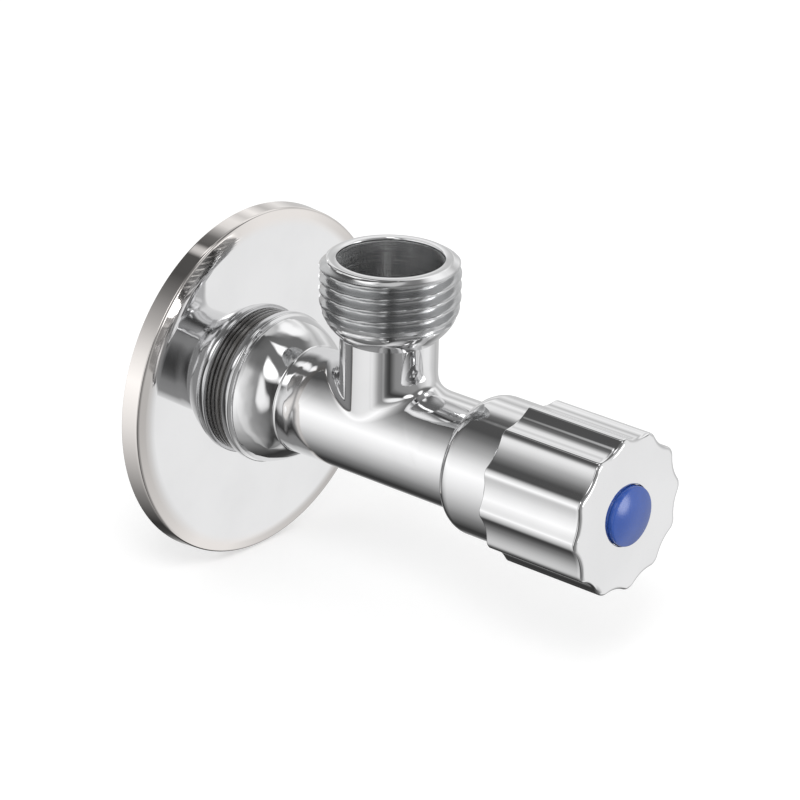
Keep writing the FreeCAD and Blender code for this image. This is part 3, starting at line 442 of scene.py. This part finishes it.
def squareTurn(across, along):      # the turn about the outlet that belongs to a place on the square hole
    if abs(across) >= abs(along):
        return (0 if across > 0 else math.pi) + math.pi / 4 * along / across
    return (math.pi / 2 if along > 0 else -math.pi / 2) - math.pi / 4 * across / along


def markLoop(shape, edges, layers, halfTurn, halfLength):
    turn, startTurn, startAlong = layers
    for corner in {corner for edge in edges for corner in edge.verts}:
        rolled = math.atan2(corner.co.x, corner.co.z)
        along = -corner.co.y - branchSet["outlet"]
        corner[turn] = squareTurn(rolled / math.radians(halfTurn), along / halfLength)
        corner[startTurn], corner[startAlong] = rolled, along


def branchEnvelope(height):      # the branch's outside before its thread is cut
    corner, foot, rounding = branchSet["bowlCorner"], branchSet["neckTop"], branchSet["bowlRounding"]
    widening = (threadSet["radius"] - branchSet["neck"]) / (corner - foot)
    bend = math.radians(branchSet["bowlBend"])
    reach = rounding * math.tan(bend / 2)
    if height <= foot:
        return branchSet["neck"]
    if height <= corner - reach * math.cos(math.atan(widening)):
        return branchSet["neck"] + (height - foot) * widening
    if height < corner + reach:
        return threadSet["radius"] - rounding + math.sqrt(rounding ** 2 - (corner + reach - height) ** 2)
    return threadSet["radius"] - max(0, height - branchSet["chamferFoot"]) * branchSet["chamferSlope"]


def placeOnBranch(turn, across, height):
    return Vector((across * math.cos(turn), -branchSet["outlet"] - across * math.sin(turn), height))


def growBranch(shape, edges, turnLayer, startTurn, startAlong):
    barrel, outlet = bodySet["barrel"], branchSet["outlet"]
    neck, rounding, reach = branchSet["neck"], branchSet["rootRounding"], branchSet["rootReach"]

    def ballCentre(turn):      # of a ball that rolls along the root and touches the barrel and the neck
        across = (neck + rounding) * math.cos(turn)
        return Vector((across, -outlet - (neck + rounding) * math.sin(turn),
                       math.sqrt((barrel + rounding) ** 2 - across ** 2)))

    def rootPlace(corner, outwards, upwards):      # so far out on the barrel and up the neck from their corner
        ball = ballCentre(corner[turnLayer])
        across, along = neck * math.cos(corner[turnLayer]), -neck * math.sin(corner[turnLayer])
        meeting = math.asin(across / barrel)
        rolled = meeting + (math.atan2(ball.x, ball.z) - meeting) * outwards
        station = along + (ball.y + outlet - along) * outwards - outlet
        rise = (ball.z - barrel * math.cos(meeting)) * upwards
        return Vector((barrel * math.sin(rolled), station, barrel * math.cos(rolled) + rise))

    def onBarrel(corner, share):
        foot = rootPlace(corner, reach, 0)
        rolled = corner[startTurn] + (math.atan2(foot.x, foot.z) - corner[startTurn]) * share
        along = -outlet - corner[startAlong]
        along += (foot.y - along) * share
        return Vector((barrel * math.sin(rolled), along, barrel * math.cos(rolled)))

    def onRoot(corner, share):
        ease = branchSet["rootEase"]
        return rootPlace(corner, reach * (1 - share) ** ease, reach * share ** ease)

    def onNeck(corner, share):
        foot = rootPlace(corner, 0, reach).z
        return placeOnBranch(corner[turnLayer], neck, foot + (branchSet["neckRingsTop"] - foot) * share)

    for place, rings in ((onBarrel, "barrelRings"), (onRoot, "rootRings"), (onNeck, "neckRings")):
        for step in range(1, branchSet[rings] + 1):
            edges = ringOn(shape, edges, lambda corner: place(corner, step / branchSet[rings]))
    return edges


def growOutlet(shape, edges, turnLayer):      # the bowl, the thread and the mouth's rim
    threadFoot, chamferFoot = branchSet["threadFoot"], branchSet["chamferFoot"]
    heights = branchSet["bowlRings"] + [
        threadFoot + branchSet["threadRow"] * row for row in range(branchSet["threadRows"])]
    heights += [chamferFoot + branchSet["chamferRow"] * row for row in range(7)] + [branchSet["chamferTop"]]
    fadeFoot, fadeTop = branchSet["threadFade"]

    def onThread(corner, height):
        fade = min(1, max(0, (height - fadeFoot) / (fadeTop - fadeFoot)))
        cut = threadRadius(-corner[turnLayer] / math.tau, height + branchSet["threadShift"], fade)
        return placeOnBranch(corner[turnLayer], min(branchEnvelope(height), cut), height)

    for height in heights:
        edges = ringOn(shape, edges, lambda corner: onThread(corner, height))
    for across in branchSet["topRings"]:
        edges = ringOn(shape, edges, lambda corner: placeOnBranch(corner[turnLayer], across, branchSet["top"]))
    return edges


def growPassage(shape, edges, turnLayer, startTurn, startAlong):      # from the inner bore up to the mouth
    bore, passage = bodySet["innerBore"], branchSet["passage"]

    def onBore(corner, share):
        across = passage * math.cos(corner[turnLayer])
        rolled = corner[startTurn] + (math.asin(across / bore) - corner[startTurn]) * share
        along = corner[startAlong] + (passage * math.sin(corner[turnLayer]) - corner[startAlong]) * share
        return Vector((bore * math.sin(rolled), -branchSet["outlet"] - along, bore * math.cos(rolled)))

    for share in (0.5, 1):
        edges = ringOn(shape, edges, lambda corner: onBore(corner, share))
    for across, height in branchSet["passageWall"]:
        edges = ringOn(shape, edges, lambda corner: placeOnBranch(corner[turnLayer], across, height))
    return edges


def makeValveBody():
    names = ("turn", "startTurn", "startAlong")      # about the outlet, and a corner's first place on its wall
    shape = spunShape(bodyOutline(), bodySet["around"], names)
    layers = [shape.verts.layers.float[name] for name in names]
    cutThread(shape)
    outer = openPatch(shape, bodySet["barrel"], bodySet["patchTurn"], bodySet["patch"])
    markLoop(shape, outer, layers, bodySet["patchTurn"], bodySet["patch"])
    outer = growBranch(shape, outer, *layers)
    outer = growOutlet(shape, outer, layers[0])
    inner = openPatch(shape, bodySet["innerBore"], bodySet["innerTurn"], bodySet["innerPatch"])
    inner = [edge for edge in inner if edge not in set(outer)]
    markLoop(shape, inner, layers, bodySet["innerTurn"], bodySet["innerPatch"])
    inner = growPassage(shape, inner, *layers)
    bmesh.ops.bridge_loops(shape, edges=outer + inner)
    for name in names:
        shape.verts.layers.float.remove(shape.verts.layers.float[name])
    finishPiece(shape, "valveBody", chromeBody, "body", ["valve_body"])


makeValveBody()


# Wall plate

plateSet = {
    "around": 192, "hole": 10.7975, "height": 3.58, "metal": 0.8, "rim": 27.4,
    "shoulder": (27.18, 2.98), "face": 24.9, "faceRounding": 6,      # the face falls from here to the shoulder
}


def makeWallPlate():
    hole, height, metal = plateSet["hole"], plateSet["height"], plateSet["metal"]
    rim, face, (shoulder, edge) = plateSet["rim"], plateSet["face"], plateSet["shoulder"]
    shape = spunShape([
        (hole, height - metal, 0.12), (hole, height, 0.2), (face, height, plateSet["faceRounding"]),
        (shoulder, edge, 0.5), (rim, 0, 0.1), (rim - metal, 0, 0.1),
        (shoulder - metal, edge - metal + 0.1, 0.3), (face - 0.4, height - metal, 1),
    ], plateSet["around"])
    finishPiece(shape, "wallPlate", chromePlate, "body", ["wall_escutcheon"])


makeWallPlate()


# Sealing ring with two ribs

ringSet = {
    "around": 128, "bore": 9.6975, "back": 3.59, "front": 5.29, "outside": 11.2975, "waist": 10.7, "rib": 0.72,
}


def makeSealingRing():
    bore, outside, waist = ringSet["bore"], ringSet["outside"], ringSet["waist"]
    back, front, rib = ringSet["back"], ringSet["front"], ringSet["rib"]
    shape = spunShape([
        (bore, back, 0.1), (outside, back, 0.34), (outside, back + rib, 0.34), (waist, back + rib + 0.05, 0.08),
        (waist, front - rib - 0.05, 0.08), (outside, front - rib, 0.34), (outside, front, 0.34),
        (bore, front, 0.1),
    ], ringSet["around"])
    finishPiece(shape, "sealingRing", plain["seal"], "body", ["inlet_sealing_ring"])


makeSealingRing()


# Handle knob

knobSet = {
    "back": 56.1986, "front": 73.7986, "radius": 12.185, "fluteDepth": 0.8, "fluteRadius": 6.7,
    "flutes": 12, "turn": 5.44, "ridgeBlend": 0.12, "edge": 0.75, "backEdge": 0.25, "arcSteps": 6,
    "samples": (0, 1.2, 2.0, 2.35, 2.7, 3.05, 3.5, 4.3, 5.8, 8.5, 11.5),      # degrees from a ridge
    "face": (8.6, 6.5, 5.0), "capHole": 4.65, "capHoleEdge": 0.12,
    "inside": [      # radius, depth behind the front
        (4.65, 1.24), (4.1, 1.24), (4.1, 3.04), (2.2, 3.04), (2.2, 4.24), (5.05, 4.24), (5.05, 9.8986),
        (6.65, 9.8986), (6.65, 2), (10.165, 2), (10.165, 17.5), (10.265, 17.6),
    ],
}


def flutedRadius(turn):      # turn in degrees from a ridge's middle
    half = 180 / knobSet["flutes"]
    away = math.radians(half - abs((turn + half) % (2 * half) - half))
    centre = knobSet["radius"] - knobSet["fluteDepth"] + knobSet["fluteRadius"]
    flute = centre * math.cos(away) - math.sqrt(knobSet["fluteRadius"] ** 2 - (centre * math.sin(away)) ** 2)
    blend = knobSet["ridgeBlend"]
    gap = (flute - knobSet["radius"]) / blend
    if gap > 40:      # the exponential would add nothing
        return knobSet["radius"]
    return knobSet["radius"] - blend * math.log(1 + math.exp(-gap))


def makeKnob():
    steps, pitch = knobSet["samples"], 360 / knobSet["flutes"]
    spread = [*steps, pitch / 2, *(pitch - step for step in reversed(steps[1:]))]
    turns = [flute * pitch + step for flute in range(knobSet["flutes"]) for step in spread]
    shape = bmesh.new()
    turnLayer = shape.verts.layers.float.new("turn")
    bmesh.ops.create_circle(shape, segments=len(turns), radius=1)
    shape.verts.ensure_lookup_table()
    order = sorted(shape.verts, key=lambda corner: math.atan2(corner.co.y, corner.co.x) % math.tau)
    for corner, turn in zip(order, turns):
        corner[turnLayer] = turn

    def onRound(corner, across, station):
        turn = math.radians(corner[turnLayer] + knobSet["turn"])
        return Vector((across * math.cos(turn), -station, across * math.sin(turn)))

    def onFlutes(corner, inset, station):
        return onRound(corner, flutedRadius(corner[turnLayer]) - inset, station)

    back, front, edge, backEdge = (knobSet[key] for key in ("back", "front", "edge", "backEdge"))
    hole, holeEdge = knobSet["capHole"], knobSet["capHoleEdge"]
    arc = [math.radians(90 * step / knobSet["arcSteps"]) for step in range(knobSet["arcSteps"] + 1)]
    rings = [(onFlutes, backEdge * (1 - math.sin(turn)), back + backEdge * (1 - math.cos(turn))) for turn in arc]
    rings += [(onFlutes, 0, back + 0.4), (onFlutes, 0, front - edge - 0.12)]
    rings += [(onFlutes, edge * (1 - math.cos(turn)), front - edge + edge * math.sin(turn)) for turn in arc]
    rings += [(onFlutes, edge + 0.12, front), (onFlutes, edge + 0.6, front)]
    rings += [(onRound, across, front) for across in knobSet["face"]]
    rings += [(onRound, hole + holeEdge * (1 - math.sin(turn)), front - holeEdge * (1 - math.cos(turn)))
              for turn in arc[::2]]
    rings += [(onRound, across, front - depth) for across, depth in knobSet["inside"]]
    for corner in order:
        corner.co = onFlutes(corner, *rings[0][1:])
    edges = list(shape.edges)
    for place, across, station in rings[1:]:
        edges = ringOn(shape, edges, lambda corner: place(corner, across, station))
    bmesh.ops.bridge_loops(shape, edges=[edge for edge in shape.edges if edge.is_boundary])
    shape.verts.layers.float.remove(shape.verts.layers.float["turn"])
    finishPiece(shape, "handleKnob", chromeTrim, "handle", ["handle_knob"], crease=50)


makeKnob()


# Index cap

capSet = {
    "radius": 4.51, "foot": 72.6086, "side": 74.4986, "top": 75.3486, "around": 96, "soft": 0.3, "domeRings": 15,
    "pole": 0.0001,      # a hair off the axis, so that the spin leaves something to merge
}


def makeIndexCap():
    radius, foot, side, top, pole = (capSet[key] for key in ("radius", "foot", "side", "top", "pole"))
    ball = (radius ** 2 + (top - side) ** 2) / 2 / (top - side)
    dome = []
    for step in range(1, capSet["domeRings"]):
        across = radius * (1 - step / capSet["domeRings"])
        dome.append((across, top - ball + math.sqrt(ball ** 2 - across ** 2), 0))
    shape = spunShape([
        (pole, foot, 0), (radius, foot, 0.1), (radius, side, capSet["soft"]), *dome, (pole, top, 0),
    ], capSet["around"])
    bmesh.ops.remove_doubles(shape, verts=shape.verts, dist=0.01)
    finishPiece(shape, "indexCap", blueCap, "handle", ["index_cap"], crease=50)


makeIndexCap()


# Finishes of the pieces that stay as they were drawn

finishOf = {
    "black_rubber": "rubber", "stainless_steel": "steel", "bare_brass": "brass",
    "white_ceramic": "ceramic", "white_plastic": "acetal",
}
for part in frame["record"]["subparts"]:
    finish = finishOf.get(part["material_slot"])
    if finish:
        node = frame["nodes"][part["node"]]
        node.data.materials.clear()
        node.data.materials.append(plain[finish])
print("solids dressed")


# Studio

studioSet = {
    "floorHeight": -0.0276, "floorSize": 6.0, "floorColour": (0.62, 0.62, 0.62, 1), "floorLift": 0.48,
    "surround": 0.85,                       # what matt surfaces see
    # brightness of the room behind, round the valve's axis: angle from the left over the top, level
    "behind": [
        (-180, 0.65), (-150, 0.6), (-138, 0.5), (-130, 0.25), (-119, 0.06), (-105, 0.04), (-93, 0.11),
        (-75, 0.26), (-50, 0.6), (-25, 0.97), (3, 1.28), (20, 1.0), (40, 0.53), (60, 0.22), (74, 0.09),
        (98, 0.1), (108, 0.18), (114, 0.5), (120, 0.9), (128, 1.0), (135, 0.75), (143, 1.1), (154, 0.6),
        (167, 0.95),
    ],
    # brightness of the room in front, from left to right: azimuth, level
    "before": [
        (-104, 0.03), (-95, 0.05), (-89, 0.95), (-80, 0.7), (-72, 0.38), (-60, 0.24), (-52, 0.09), (-47, 0.05),
        (-41, 0.15), (-33, 0.3), (-16, 0.34), (0, 0.34), (14, 0.65), (28, 0.8), (42, 0.99), (56, 0.99),
        (70, 0.75), (82, 0.65), (92, 0.42), (104, 0.3),
    ],
    "peak": 1.3, "ceiling": 0.18, "ceilingFoot": (0.55, 0.8), "seam": (-0.2, 0.1),      # where they meet
    # round soft lamps: azimuth, elevation, half width, half height, level
    "lamps": [
        (172, 67, 13, 14, 1.4),
        (125, 74, 56, 15, 0.65),
        (90, 54, 19, 19, 1.2),
        (-61, 9, 9, 36, 1.1),
        (4, 70, 28, 17, 1.5),
        (-48, 44, 13, 22, 2.2),
        (24, -3, 14, 14, 5.5),
    ],
}


def makeFloor():
    shape = bmesh.new()
    bmesh.ops.create_grid(shape, x_segments=2, y_segments=2, size=studioSet["floorSize"] / 2)
    bmesh.ops.translate(shape, vec=(0, 0, studioSet["floorHeight"]), verts=shape.verts)
    mesh = bpy.data.meshes.new("floor")
    shape.to_mesh(mesh)
    shape.free()
    floor = bpy.data.objects.new("floor", mesh)
    bpy.context.scene.collection.objects.link(floor)
    material, start = newMaterial("paleFloor")
    sight = start.add("ShaderNodeLightPath", {}, {}, output="Is Camera Ray")
    matt = start.add("ShaderNodeBsdfDiffuse", {}, {"Color": studioSet["floorColour"]})
    lift = start.add("ShaderNodeEmission", {}, {"Strength": sight * studioSet["floorLift"]})
    both = start.add("ShaderNodeAddShader", {}, {0: matt, 1: lift})
    start.add("ShaderNodeOutputMaterial", {}, {"Surface": both})
    mesh.materials.append(material)
    floor.visible_glossy = False


def rampStops(levels):      # of a ramp that runs once round
    stops = [(angle / 360 + 0.5, bright / studioSet["peak"]) for angle, bright in levels]
    return stops + [(1.0, stops[0][1])] if levels[0][0] == -180 else stops


def makeWorld():
    world = bpy.data.worlds.new("studio")
    world.use_nodes = True
    world.node_tree.nodes.clear()
    bpy.context.scene.world = world
    start = Wire(world.node_tree)
    seen, mirrored, through = (start.add("ShaderNodeLightPath", {}, {}, output=f"Is {kind} Ray")
                               for kind in ("Camera", "Glossy", "Transmission"))
    direction = start.add("ShaderNodeTexCoord", {}, {}, output="Generated")
    east, north, high = axesOf(start, direction)
    turned = start.reckon("ARCTAN2", high, east * -1) * (1 / math.tau) + 0.5
    azimuth = start.reckon("ARCTAN2", east, north * -1) * (1 / math.tau) + 0.5
    behind, before = (start.add("ShaderNodeValToRGB", {"stops": rampStops(studioSet[key])}, {"Fac": angle})
                      * studioSet["peak"] for key, angle in (("behind", turned), ("before", azimuth)))
    upwards = high.between(*studioSet["ceilingFoot"])
    before = before * (1 - upwards) + upwards * studioSet["ceiling"]
    back = north.between(*studioSet["seam"])
    level = behind * back + before * (1 - back)
    elevation = start.reckon("ARCSINE", high)
    for left, height, width, tall, bright in studioSet["lamps"]:
        across = start.reckon("WRAP", azimuth - (left / 360 + 0.5), 0.5, -0.5) * (360 / width)
        along = (elevation - math.radians(height)) * (1 / math.radians(tall))
        mask = 1 - (across * across + along * along).between(0.1, 1)      # full in the middle, 0 at its edge
        level = mask * bright + (1 - mask) * level
    straight = seen.reckon("MAXIMUM", seen, through)
    rest = (1 - straight) * (1 - mirrored)
    glow = straight + mirrored * level * (1 - straight) + rest * studioSet["surround"]
    shader = start.add("ShaderNodeBackground", {}, {"Color": (1, 1, 1, 1), "Strength": glow})
    start.add("ShaderNodeOutputWorld", {}, {"Surface": shader})


lampSet = {"place": (-0.55, -0.45, 0.75), "size": 0.35, "power": 3.0}


def makeLamp():
    data = bpy.data.lights.new("softbox", "AREA")
    data.size, data.energy = lampSet["size"], lampSet["power"]
    lamp = bpy.data.objects.new("softbox", data)
    lamp.location = lampSet["place"]
    away = Vector(lampSet["place"]) - Vector(cameraSet["aim"])
    lamp.rotation_euler = away.to_track_quat("Z", "Y").to_euler()
    lamp.visible_glossy = False
    bpy.context.scene.collection.objects.link(lamp)


makeFloor()
makeWorld()
makeLamp()
print("studio set")
